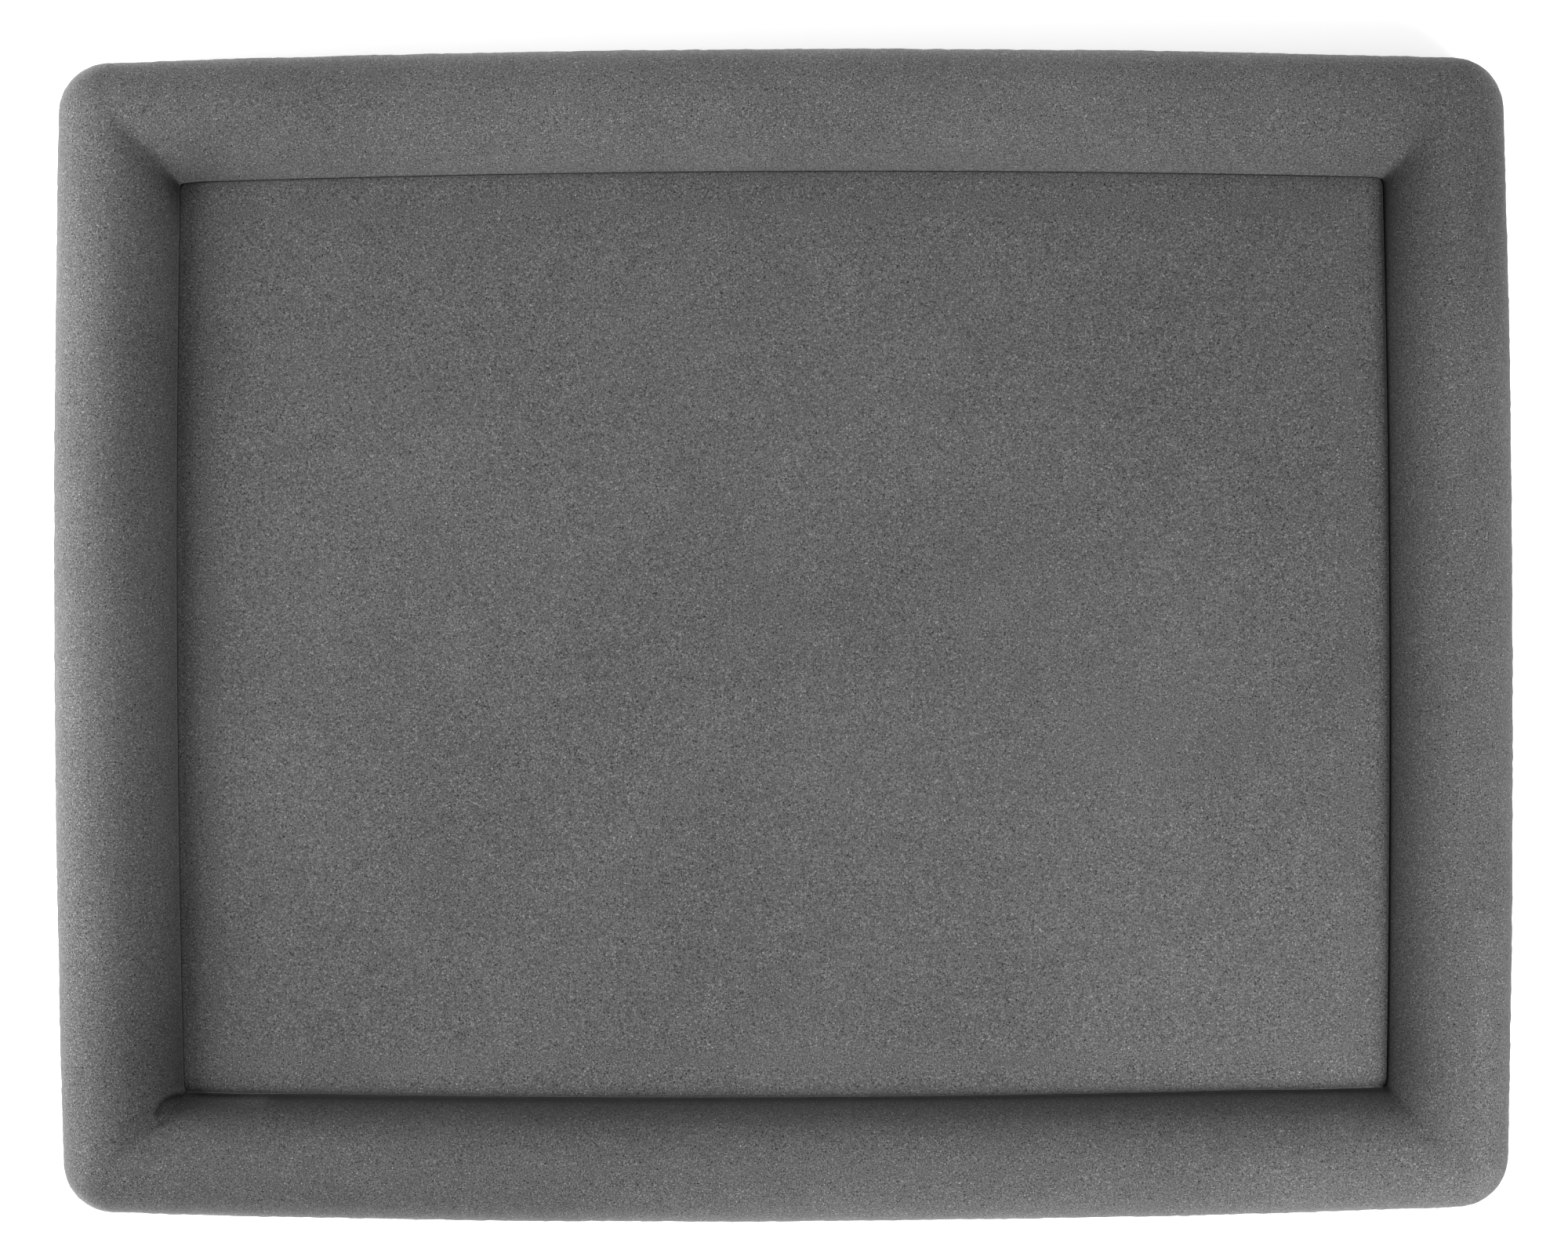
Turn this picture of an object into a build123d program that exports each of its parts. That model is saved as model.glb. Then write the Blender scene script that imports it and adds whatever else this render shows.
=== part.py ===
"""A padded jewelry tray: a board with a soft rolled rim, wrapped in microfibre, and a covered pad that
drops into the well.

Millimetres. The origin is at the middle of the underside, +X runs along the long sides, +Y to the back
and +Z up. The four sides bow outwards a little, so each rim side is a section turned about a far axis.
"""

from build123d import *

import os
from math import asin, atan2, cos, degrees, hypot, radians, sin

os.makedirs("parts", exist_ok=True)

# Overall form
tray_length = 300.0  # across the middles of the short sides
tray_width = 241.0  # across the middles of the long sides
tray_height = 21.0  # from the table to the crest of the rim
bow_radius = 4200.0  # of the crest line along every side

# Section of the rolled rim, outside the cover
crest_inset = 9.5  # outline to crest, which is also the plan radius of the corners
rim_width = 25.0  # outline to the wall of the well
roll_drop = 10.0  # crest down to where the roll meets the wall of the well
tuck_in = 1.4  # how far the outer face leans in at its foot

# Rim cover
cover_thickness = 0.7
cover_fold_radius = 0.5  # inside the fold where it turns under
turn_under = 20.0  # outline to the cut edge of the hem below
well_hem = 8.0  # wall of the well to the cut edge of the hem inside

# Core: a board with four mitred rails
board_thickness = 3.0
core_corner_radius = 6.5
corner_padding = 2.0  # padding between the core and the cover at the corners
crest_padding = 3.3  # padding over the top of the rails
wall_padding = 1.2  # padding between the rails and the wall of the well, at its thinnest
rail_shoulder_radius = 5.0  # rounded outer top edge
bevel_run_share = 0.52  # of the width of a rail, sloping towards the well
bevel_fall_share = 0.7  # of the height of a rail

# Brads up through the board into the rails
brad_shank_radius = 0.7
brad_head_radius = 1.4
brad_head_thickness = 0.6
brad_grip_share = 0.75  # of the height of a rail
brads_per_long_rail = 4
brads_per_short_rail = 3
brad_end_distance = 34.0  # core corner to the first brad, along the rail

# V nails across the mitres
nail_arm_share = 0.25  # of the width of a rail
nail_thickness = 0.5
nail_height_share = 0.6  # of the height of a rail
nail_opening = 50.0  # degrees between an arm and the mitre
fastener_clearance = 0.05

# Felt under the tray
felt_thickness = 2.0
felt_inset = 5.5  # outline to felt
felt_corner_radius = 5.0
felt_fit = 0.3  # raised middle of the felt to the hem

# Drop-in pad
pad_gap_tight = 0.4  # to the wall of the well at the back and on the left, where the pad is pushed
pad_gap_open = 1.4  # to the wall of the well at the front and on the right
pad_edge_radius = 0.9  # of its foam, along the top
pad_corner_extra = 0.3  # how much rounder its corners are in plan
pad_board_thickness = 2.0
pad_foam_thickness = 3.0
pad_hem = 12.0  # pad edge to the cut edge of its hem below
backing_thickness = 0.4
backing_fit = 0.5  # backing to the pad's hem

overrun = 1.0  # how far cutting shapes pass the faces they cut

# Heights
board_bottom = felt_thickness
board_top = board_bottom + board_thickness
hem_bottom = board_bottom - cover_thickness
well_floor = board_top + cover_thickness
shoulder_level = tray_height - crest_inset
rail_top = tray_height - cover_thickness - crest_padding
pad_board_bottom = well_floor + cover_thickness
pad_foam_bottom = pad_board_bottom + pad_board_thickness
pad_foam_top = pad_foam_bottom + pad_foam_thickness
pad_top = pad_foam_top + cover_thickness

# Crest line in plan: four shallow arcs that meet in sharp corners, on the line of the mitre
crest_half_length = tray_length / 2 - crest_inset
crest_half_width = tray_width / 2 - crest_inset
right_axis = (crest_half_length - bow_radius, 0)
back_axis = (0, crest_half_width - bow_radius)
axis_gap = hypot(right_axis[0], back_axis[1])
mitre_direction = atan2(-right_axis[0], -back_axis[1])  # radians, square to the line between the axes


def bowed_corner(inset):
    """Where the right and back sides meet, at an inset from the crest line."""
    reach = ((bow_radius - inset) ** 2 - (axis_gap / 2) ** 2) ** 0.5
    x = right_axis[0] / 2 + reach * cos(mitre_direction)
    y = back_axis[1] / 2 + reach * sin(mitre_direction)
    return x, y


crest_corner = bowed_corner(0)
side_ends = {  # degrees from the middle of a side to its end
    "right": degrees(asin(crest_corner[1] / bow_radius)),
    "back": degrees(asin(crest_corner[0] / bow_radius)),
}
side_axes = {"right": right_axis, "back": back_axis}
side_middles = {"right": 0, "back": 90}  # degrees from +X

# Core in plan, straight-sided
core_overhang = crest_inset - cover_thickness - corner_padding
core_half_length = crest_corner[0] + core_overhang
core_half_width = crest_corner[1] + core_overhang
rail_width = core_half_width - crest_half_width + rim_width - crest_inset - cover_thickness - wall_padding
rail_height = rail_top - board_top
bevel_run = bevel_run_share * rail_width
bevel_fall = bevel_fall_share * rail_height

# Arcs of the rim section: the roll towards the well, the shoulder and the lean of the outer face
roll_reach = rim_width - crest_inset
roll_radius = (roll_reach**2 + roll_drop**2) / (2 * roll_drop)
roll_centre = (crest_inset, tray_height - roll_radius)
shoulder_centre = (crest_inset, shoulder_level)
lean_height = shoulder_level - hem_bottom
lean_radius = (lean_height**2 + tuck_in**2) / (2 * tuck_in)
lean_centre = (lean_radius, shoulder_level)


def foot_point(depth):
    """Lower end of the outer face, at a depth below the outer surface of the rim section."""
    reach = ((lean_radius - depth) ** 2 - (lean_height - depth) ** 2) ** 0.5
    return (lean_radius - reach, hem_bottom + depth)


def wall_point(depth):
    """Where the roll meets the wall of the well, at a depth below the outer surface."""
    reach = roll_reach - depth
    rise = ((roll_radius - depth) ** 2 - reach**2) ** 0.5
    return (crest_inset + reach, roll_centre[1] + rise)


def arc_about(centre, start, end):
    """Short arc from start to end about a centre."""
    radius = hypot(start[0] - centre[0], start[1] - centre[1])
    way = ((start[0] + end[0]) / 2 - centre[0], (start[1] + end[1]) / 2 - centre[1])
    growth = radius / hypot(*way)
    middle = (centre[0] + way[0] * growth, centre[1] + way[1] * growth)
    ThreePointArc(start, middle, end)


def draw_roll(depth):
    """Outer face, shoulder and roll of the rim section, from the foot to the wall of the well."""
    side_point = (depth, shoulder_level)
    crest_point = (crest_inset, tray_height - depth)
    arc_about(lean_centre, foot_point(depth), side_point)
    arc_about(shoulder_centre, side_point, crest_point)
    arc_about(roll_centre, crest_point, wall_point(depth))


def round_corner(section, point, radius):
    """Fillets the corner of a section that lies nearest a point."""
    fillet(section.vertices().sort_by_distance(point)[0], radius)


def trim_at_crest():
    """Keeps only what lies outside the crest."""
    with Locations((crest_inset / 2, tray_height / 2)):
        Rectangle(crest_inset, 2 * tray_height, mode=Mode.INTERSECT)


def cover_section(plane, outer_half=False):
    """Cut through the rim cover: hem below, outer face, roll, wall of the well and hem inside."""
    wall = rim_width - cover_thickness
    with BuildSketch(plane) as section:
        with BuildLine():
            draw_roll(0)
            Polyline(
                wall_point(0),
                (rim_width, well_floor),
                (rim_width + well_hem, well_floor),
                (rim_width + well_hem, board_top),
                (wall, board_top),
                wall_point(cover_thickness),
            )
            draw_roll(cover_thickness)
            Polyline(
                foot_point(cover_thickness),
                (turn_under, board_bottom),
                (turn_under, hem_bottom),
                foot_point(0),
            )
        make_face()
        round_corner(section, foot_point(0), cover_fold_radius + cover_thickness)
        round_corner(section, foot_point(cover_thickness), cover_fold_radius)
        if outer_half:
            trim_at_crest()
    return section.sketch


def padding_section(plane, outer_half=False):
    """The whole space inside the rim cover, down to the underside of the board."""
    with BuildSketch(plane) as section:
        with BuildLine():
            draw_roll(cover_thickness)
            Polyline(
                wall_point(cover_thickness),
                (rim_width - cover_thickness, board_bottom),
                foot_point(cover_thickness),
            )
        make_face()
        round_corner(section, foot_point(cover_thickness), cover_fold_radius)
        if outer_half:
            trim_at_crest()
    return section.sketch


def section_plane(centre, radius, angle):
    """Upright plane across the rim at a point on a circle: x runs inwards and y runs up."""
    out = (cos(radians(angle)), sin(radians(angle)))
    return Plane(
        origin=(centre[0] + radius * out[0], centre[1] + radius * out[1], 0),
        x_dir=(-out[0], -out[1], 0),
        z_dir=(-out[1], out[0], 0),
    )


def mitre_point(distance):
    """Point on the mitre of the back right corner, at a distance outwards from the crest."""
    x = crest_corner[0] + distance * cos(mitre_direction)
    y = crest_corner[1] + distance * sin(mitre_direction)
    return x, y


def mitre_wedge(side):
    """The space between the two mitres of a side, from inside the hem to outside the outline."""
    ends = [mitre_point(-2 * (rim_width + well_hem)), mitre_point(2 * rim_width)]
    flipped = [(x, -y) if side == "right" else (-x, y) for x, y in reversed(ends)]
    with BuildPart() as wedge:
        with BuildSketch():
            with BuildLine():
                Polyline(*ends, *flipped, close=True)
            make_face()
        extrude(amount=tray_height + overrun)
    return wedge.part


def rim_side(side, section):
    """A section turned about the far axis of a side and mitred at both ends."""
    centre = side_axes[side]
    reach = side_ends[side]
    start = section_plane(centre, bow_radius + crest_inset, side_middles[side] - reach)
    with BuildPart() as strip:
        revolve(section(start), axis=Axis((*centre, 0), (0, 0, 1)), revolution_arc=2 * reach)
        add(mitre_wedge(side), mode=Mode.INTERSECT)
    return strip.part


def rim_corner(section, start, end):
    """The outer half of a section turned about the back right corner of the crest line."""
    plane = section_plane(crest_corner, crest_inset, start)
    axis = Axis((*crest_corner, 0), (0, 0, 1))
    with BuildPart() as corner:
        revolve(section(plane, outer_half=True), axis=axis, revolution_arc=end - start)
    return corner.part


def opposite(part, plane):
    """The same piece on the other side of a plane."""
    with BuildPart() as twin:
        mirror(part, about=plane)
    return twin.part


def core_block(bottom, top):
    """Plain block with the outline of the core."""
    with BuildPart() as block:
        with BuildSketch(Plane.XY.offset(bottom)):
            RectangleRounded(2 * core_half_length, 2 * core_half_width, core_corner_radius)
        extrude(amount=top - bottom)
    return block.part


def along(half_length, count):
    """Even places along a rail, the end ones a set distance from the corners of the core."""
    reach = half_length - brad_end_distance
    return [-reach + 2 * reach * i / (count - 1) for i in range(count)]


brad_length = board_thickness + brad_grip_share * rail_height
nail_arm = nail_arm_share * rail_width
nail_height = nail_height_share * rail_height
rail_middle_x = core_half_length - rail_width / 2
rail_middle_y = core_half_width - rail_width / 2
brad_places = []
for sign in (-1, 1):
    brad_places += [(x, sign * rail_middle_y) for x in along(core_half_length, brads_per_long_rail)]
    brad_places += [(sign * rail_middle_x, y) for y in along(core_half_width, brads_per_short_rail)]


def make_brads(clearance):
    """Shanks and heads of all brads, or with a clearance the holes for them."""
    with BuildPart() as brads:
        with BuildSketch(Plane.XY.offset(board_bottom)):
            with Locations(*brad_places):
                Circle(brad_shank_radius + clearance)
        extrude(amount=brad_length + clearance)
        with BuildSketch(Plane.XY.offset(board_bottom)):
            with Locations(*brad_places):
                Circle(brad_head_radius + clearance)
        extrude(amount=brad_head_thickness + clearance)
    return brads.part


# Each V nail stands on the mitre with its point outwards
nail_places = [
    Location((x, y), direction)
    for x, y, direction in (
        (rail_middle_x, rail_middle_y, 45),
        (-rail_middle_x, rail_middle_y, 135),
        (-rail_middle_x, -rail_middle_y, 225),
        (rail_middle_x, -rail_middle_y, 315),
    )
]


def make_nails(clearance):
    """The four V nails, or with a clearance the slots for them."""
    with BuildPart() as nails:
        with BuildSketch(Plane.XY.offset(board_top)):
            with Locations(*nail_places):
                for arm_direction in (180 - nail_opening, 180 + nail_opening):
                    Rectangle(
                        nail_arm + clearance,
                        nail_thickness + 2 * clearance,
                        rotation=arm_direction,
                        align=(Align.MIN, Align.CENTER),
                    )
        extrude(amount=nail_height + clearance)
    return nails.part


def make_rail(side, blank=False):
    """A straight moulding: rounded outside, bevelled towards the well and mitred at both ends."""
    face, half_length = {
        "right": (core_half_length, core_half_width),
        "back": (core_half_width, core_half_length),
    }[side]
    with BuildPart() as rail:
        with BuildSketch(section_plane((0, 0), face, side_middles[side])) as section:
            with BuildLine():
                Polyline(
                    (0, board_top),
                    (0, rail_top),
                    (rail_width - bevel_run, rail_top),
                    (rail_width, rail_top - bevel_fall),
                    (rail_width, board_top),
                    close=True,
                )
            make_face()
            round_corner(section, (0, rail_top), rail_shoulder_radius)
        extrude(amount=half_length, both=True)
        add(mitre_wedge(side), mode=Mode.INTERSECT)
        add(core_block(board_top, tray_height), mode=Mode.INTERSECT)
        if not blank:
            add(make_brads(fastener_clearance), mode=Mode.SUBTRACT)
            add(make_nails(fastener_clearance), mode=Mode.SUBTRACT)
    return rail.part


def make_padding(side):
    """Foam over one rail and down over the edge of the board, mitred at both ends."""
    start, end, flip = {
        "right": (side_ends["right"], degrees(mitre_direction), Plane.XZ),
        "back": (degrees(mitre_direction), 90 - side_ends["back"], Plane.YZ),
    }[side]
    corner = rim_corner(padding_section, start, end)
    with BuildPart() as padding:
        add(rim_side(side, padding_section))
        add(corner)
        mirror(corner, about=flip)
        add(make_rail(side, blank=True), mode=Mode.SUBTRACT)
        add(core_block(board_bottom - overrun, board_top), mode=Mode.SUBTRACT)
    return padding.part


def name_sides(name, right, back):
    """Labels the four pieces of a rim: two that were made and the two opposite them."""
    pieces = {"right": right, "back": back}
    pieces["left"] = opposite(right, Plane.YZ)
    pieces["front"] = opposite(back, Plane.XZ)
    for side, piece in pieces.items():
        piece.label = f"{name}_{side}"
    return list(pieces.values())


# Core
with BuildPart() as base_board:
    add(core_block(board_bottom, board_top))
    add(make_brads(fastener_clearance), mode=Mode.SUBTRACT)
base_board.part.label = "base_board"

rails = name_sides("rail", make_rail("right"), make_rail("back"))

with BuildPart() as rail_brads:
    add(make_brads(0))
rail_brads.part.label = "rail_brads"

with BuildPart() as mitre_nails:
    add(make_nails(0))
mitre_nails.part.label = "mitre_nails"

# Padding
paddings = name_sides("padding", make_padding("right"), make_padding("back"))

# Rim cover: one sheet round the rim, hemmed below and in the well
cover_right = rim_side("right", cover_section)
cover_back = rim_side("back", cover_section)
cover_corner = rim_corner(cover_section, side_ends["right"], 90 - side_ends["back"])
with BuildPart() as rim_cover:
    add(cover_right)
    mirror(cover_right, about=Plane.YZ)
    add(cover_back)
    mirror(cover_back, about=Plane.XZ)
    for corner in (cover_corner, opposite(cover_corner, Plane.YZ)):
        add(corner)
        mirror(corner, about=Plane.XZ)
rim_cover.part.label = "rim_cover"

# Felt: its margin is pressed thinner under the hem, so that the underside stays flat
felt_middle_x, felt_middle_y = bowed_corner(turn_under - crest_inset + felt_fit)
with BuildPart() as underside_felt:
    with BuildSketch():
        RectangleRounded(
            tray_length - 2 * felt_inset,
            tray_width - 2 * felt_inset,
            felt_corner_radius,
        )
    extrude(amount=hem_bottom)
    with BuildSketch(Plane.XY.offset(hem_bottom)):
        Rectangle(2 * felt_middle_x, 2 * felt_middle_y)
    extrude(amount=cover_thickness)
underside_felt.part.label = "underside_felt"

# Drop-in pad: board and foam in a microfibre cover, with a backing sheet inside the hem
pad_inset = roll_reach + (pad_gap_tight + pad_gap_open) / 2  # crest to pad
pad_shift = (pad_gap_open - pad_gap_tight) / 2  # to the left and to the back
pad_core_inset = pad_inset + cover_thickness
pad_corner_radius = pad_edge_radius + pad_corner_extra


def pad_outline(level, inset, corner_radius=0.0):
    """Plan of the pad at a level, at an inset from the crest line."""
    x, y = bowed_corner(inset)
    middle_x, middle_y = crest_half_length - inset, crest_half_width - inset
    with BuildSketch(Plane(origin=(-pad_shift, pad_shift, level))) as outline:
        with BuildLine():
            ThreePointArc((x, -y), (middle_x, 0), (x, y))
            ThreePointArc((x, y), (0, middle_y), (-x, y))
            ThreePointArc((-x, y), (-middle_x, 0), (-x, -y))
            ThreePointArc((-x, -y), (0, -middle_y), (x, -y))
        make_face()
        if corner_radius:
            fillet(outline.vertices(), corner_radius)
    return outline.sketch


def pad_block(bottom, top, inset, corner_radius, edge_radius):
    """Block with the plan of the pad and a rounded top edge."""
    with BuildPart() as block:
        extrude(pad_outline(bottom, inset, corner_radius), amount=top - bottom)
        fillet(block.faces().sort_by(Axis.Z)[-1].edges(), edge_radius)
    return block.part


pad_core = pad_block(
    pad_board_bottom, pad_foam_top, pad_core_inset, pad_corner_radius, pad_edge_radius
)

with BuildPart() as pad_cover:
    add(
        pad_block(
            well_floor,
            pad_top,
            pad_inset,
            pad_corner_radius + cover_thickness,
            pad_edge_radius + cover_thickness,
        )
    )
    add(pad_core, mode=Mode.SUBTRACT)
    extrude(
        pad_outline(well_floor, pad_inset + pad_hem),
        amount=cover_thickness,
        mode=Mode.SUBTRACT,
    )
pad_cover.part.label = "pad_cover"

with BuildPart() as pad_board:
    add(pad_core)
    split(bisect_by=Plane.XY.offset(pad_foam_bottom), keep=Keep.BOTTOM)
pad_board.part.label = "pad_board"

with BuildPart() as pad_foam:
    add(pad_core)
    split(bisect_by=Plane.XY.offset(pad_foam_bottom), keep=Keep.TOP)
pad_foam.part.label = "pad_foam"

with BuildPart() as pad_backing:
    extrude(
        pad_outline(pad_board_bottom - backing_thickness, pad_inset + pad_hem + backing_fit),
        amount=backing_thickness,
    )
pad_backing.part.label = "pad_backing"

tray_pieces = [base_board.part, *rails, *paddings, rim_cover.part, underside_felt.part]
fasteners = [rail_brads.part, mitre_nails.part]
pad_pieces = [pad_cover.part, pad_board.part, pad_foam.part, pad_backing.part]
for piece in tray_pieces + fasteners + pad_pieces:
    export_step(piece, f"parts/{piece.label}.step")
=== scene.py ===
# Jewelry tray with a soft padded rim and a drop-in floor pad, both in grey microfibre.
# Metres: +X along the long sides, +Y to the back, +Z up, with the origin under the middle of the tray.
import bpy
import math
import numpy as np
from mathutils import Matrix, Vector, noise


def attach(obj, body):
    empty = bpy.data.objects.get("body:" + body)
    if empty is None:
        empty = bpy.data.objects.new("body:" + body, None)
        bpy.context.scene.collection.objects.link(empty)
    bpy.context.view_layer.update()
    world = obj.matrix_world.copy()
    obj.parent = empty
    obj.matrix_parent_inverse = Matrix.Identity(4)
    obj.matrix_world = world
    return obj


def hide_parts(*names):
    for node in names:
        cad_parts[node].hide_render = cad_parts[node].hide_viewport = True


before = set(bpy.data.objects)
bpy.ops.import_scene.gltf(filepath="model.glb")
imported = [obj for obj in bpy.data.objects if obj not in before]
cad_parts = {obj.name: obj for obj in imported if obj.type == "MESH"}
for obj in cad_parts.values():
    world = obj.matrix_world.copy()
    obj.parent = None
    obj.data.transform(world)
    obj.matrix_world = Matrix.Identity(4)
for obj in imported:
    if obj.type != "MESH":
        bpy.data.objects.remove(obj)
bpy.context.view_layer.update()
bpy.ops.object.select_all(action="DESELECT")
print("frame loaded:", len(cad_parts), "nodes")

# The photograph's own frame and where the tray lies in it
photo = {
    "width": 2000,
    "height": 1603,
    "pixelsPerMetre": 6193.0,  # at the widest level of the rim
    "trayCentreX": 999.5,
    "trayCentreY": 810.0,
    "turn": -0.25,  # degrees, the camera against the tray
    "cameraHeight": 0.9,
}

# Plan and section of the rolled rim, as on the solid model
rim = {
    "halfLength": 0.150,
    "halfWidth": 0.1205,
    "top": 0.021,
    "crestInset": 0.0095,  # outline to crest
    "width": 0.025,  # outline to the wall of the well
    "rollDrop": 0.010,
    "tuckIn": 0.0014,
    "bowRadius": 4.2,
    "hemBottom": 0.0013,
    "hemUnder": 0.020,  # outline to the cut edge below
    "wellFloor": 0.0057,
    "hemInside": 0.008,
    "foldRadius": 0.0012,
    "thickness": 0.0007,
    "valleyRadius": 0.0012,  # in plan, at the inner end of a mitre
    "mitreBlend": 0.0012,
}
crestHalfLength = rim["halfLength"] - rim["crestInset"]
crestHalfWidth = rim["halfWidth"] - rim["crestInset"]
rightAxis = rim["bowRadius"] - crestHalfLength
backAxis = rim["bowRadius"] - crestHalfWidth
mitreAngle = math.atan2(rightAxis, backAxis)


def fromTo(values, start, end):
    # how far values have come from start to end, as 0 to 1
    return np.clip((values - start) / (end - start), 0, 1)


def eased(share):
    return share * share * (3 - 2 * share)


def bowedCorner(inset):
    # where two neighbouring sides meet, at an inset from the crest line
    reach = np.sqrt((rim["bowRadius"] - inset) ** 2 - (rightAxis**2 + backAxis**2) / 4)
    return reach * math.cos(mitreAngle) - rightAxis / 2, reach * math.sin(mitreAngle) - backAxis / 2


def bowedLoops(inset, radius, longSteps, shortSteps, cornerSteps):
    # plan loops, anticlockwise from the front end of the right side, one for each inset and corner radius
    inset, radius = np.broadcast_arrays(np.asarray(inset, float), np.asarray(radius, float))
    cornerX, cornerY = bowedCorner(inset + radius)
    bow = rim["bowRadius"]
    turnEnd = [np.arcsin(cornerY / (bow - inset - radius)), np.arcsin(cornerX / (bow - inset - radius))]
    columns = []
    for side in range(4):
        middle = side * math.pi / 2
        axis = rightAxis if side % 2 == 0 else backAxis
        steps = shortSteps if side % 2 == 0 else longSteps
        end, nextEnd = turnEnd[side % 2], turnEnd[(side + 1) % 2]
        for step in range(steps):
            along = 2 * step / steps - 1
            along = 0.5 * along + 0.5 * math.sin(along * math.pi / 2)  # closer together towards the corners
            angle = middle + end * along
            reach = bow - inset
            x = reach * np.cos(angle) - axis * math.cos(middle)
            y = reach * np.sin(angle) - axis * math.sin(middle)
            columns.append(np.stack([x, y], axis=-1))
        signX, signY = ((1, 1), (-1, 1), (-1, -1), (1, -1))[side]
        for step in range(cornerSteps):
            angle = middle + end + (math.pi / 2 - end - nextEnd) * step / cornerSteps
            x = signX * cornerX + radius * np.cos(angle)
            y = signY * cornerY + radius * np.sin(angle)
            columns.append(np.stack([x, y], axis=-1))
    return np.stack(columns, axis=1)


def arcRows(centre, start, end, steps):
    # points along a short arc of the section, leaving out its end
    radius = math.hypot(start[0] - centre[0], start[1] - centre[1])
    first = math.atan2(start[1] - centre[1], start[0] - centre[0])
    turn = math.atan2(end[1] - centre[1], end[0] - centre[0]) - first
    turn = (turn + math.pi) % (2 * math.pi) - math.pi
    angles = [first + turn * i / steps for i in range(steps)]
    return [(centre[0] + radius * math.cos(a), centre[1] + radius * math.sin(a)) for a in angles]


def lineRows(start, end, steps):
    # points along a straight stretch of the section, leaving out its end
    stepX, stepY = (end[0] - start[0]) / steps, (end[1] - start[1]) / steps
    return [(start[0] + stepX * i, start[1] + stepY * i) for i in range(steps)]


def rimSection(depth, detail):
    # hem below, foot, outer face, shoulder, roll, wall of the well and hem inside, at a depth in the cloth
    shoulder = rim["top"] - rim["crestInset"]
    rise = shoulder - rim["hemBottom"]
    leanRadius = (rise**2 + rim["tuckIn"] ** 2) / (2 * rim["tuckIn"])
    reach = rim["width"] - rim["crestInset"]
    rollRadius = (reach**2 + rim["rollDrop"] ** 2) / (2 * rim["rollDrop"])
    rollCentre = (rim["crestInset"], rim["top"] - rollRadius)
    fold = rim["foldRadius"]
    foldLevel = rim["hemBottom"] + fold
    foldX = leanRadius - math.sqrt((leanRadius - fold) ** 2 - (shoulder - foldLevel) ** 2)
    outwards = (fold - depth) / math.hypot(leanRadius - foldX, shoulder - foldLevel)
    foldTop = (foldX - (leanRadius - foldX) * outwards, foldLevel - (shoulder - foldLevel) * outwards)
    foldBottom = (foldX, rim["hemBottom"] + depth)
    side = (depth, shoulder)
    crest = (rim["crestInset"], rim["top"] - depth)
    wall = rim["width"] - depth
    wallTop = (wall, rollCentre[1] + math.sqrt((rollRadius - depth) ** 2 - (reach - depth) ** 2))
    floor = rim["wellFloor"] - depth
    crease = rim["thickness"] + depth
    wallFoot, floorStart = (wall, floor + crease), (wall + crease, floor)
    rows = lineRows((rim["hemUnder"], rim["hemBottom"] + depth), foldBottom, detail["under"])
    rows += arcRows((foldX, foldLevel), foldBottom, foldTop, detail["fold"])
    rows += arcRows((leanRadius, shoulder), foldTop, side, detail["lean"])
    rows += arcRows((rim["crestInset"], shoulder), side, crest, detail["shoulder"])
    rows += arcRows(rollCentre, crest, wallTop, detail["roll"])
    rows += lineRows(wallTop, wallFoot, detail["wall"])
    rows += arcRows((wall + crease, floor + crease), wallFoot, floorStart, detail["crease"])
    rows += lineRows(floorStart, (rim["width"] + rim["hemInside"], floor), detail["inside"])
    rows.append((rim["width"] + rim["hemInside"], floor))
    return np.array(rows)


def cornerRadius(inset):
    # of a loop: round about the crest's corner outside it, and small at the mitre inside it
    outer, inner = -inset, rim["valleyRadius"]
    return (outer + inner + np.sqrt((outer - inner) ** 2 + rim["mitreBlend"] ** 2)) / 2


def atLevel(plan, level):
    # points in plan, with their level as the third coordinate
    return np.concatenate([plan, np.broadcast_to(level, plan.shape[:-1] + (1,))], axis=-1)


def sweepRim(section, steps):
    # carries a section round the rim and returns rows x columns x 3
    inset = section[:, 0] - rim["crestInset"]
    plan = bowedLoops(inset, cornerRadius(inset), *steps)
    return atLevel(plan, section[:, 1, None, None])


def gridNormals(grid):
    # outward normals of a sheet whose columns close on themselves
    along = np.roll(grid, -1, axis=1) - np.roll(grid, 1, axis=1)
    across = np.gradient(grid, axis=0)
    normal = np.cross(along, across)
    return normal / np.maximum(np.linalg.norm(normal, axis=2, keepdims=True), 1e-12)


def gridFaces(rows, columns, start=0, flipped=False):
    faces = []
    for i in range(rows - 1):
        low, high = start + i * columns, start + (i + 1) * columns
        for j in range(columns):
            k = (j + 1) % columns
            face = (low + j, low + k, high + k, high + j)
            faces.append(face[::-1] if flipped else face)
    return faces


def joinLoops(first, second):
    # a strip of faces between two closed loops of points
    around = zip(first, second, [*second[1:], second[0]], [*first[1:], first[0]])
    return [tuple(face) for face in around]


def makePiece(name, points, faces, material, body):
    mesh = bpy.data.meshes.new(name)
    mesh.from_pydata([tuple(p) for p in points], [], faces)
    mesh.update()
    piece = bpy.data.objects.new(name, mesh)
    bpy.context.collection.objects.link(piece)
    for polygon in mesh.polygons:
        polygon.use_smooth = True
    mesh.materials.append(material)
    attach(piece, body)
    return piece


def paintLightAndShade(piece, values):
    # painted light and shade at each point, multiplied into the colour: below 1 is painted shade, above 1 painted
    # light
    darkest = 0.05
    attribute = piece.data.attributes.new("paintedLightAndShade", "FLOAT", "POINT")
    attribute.data.foreach_set("value", np.maximum(values, darkest).astype(np.float32))


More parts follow.
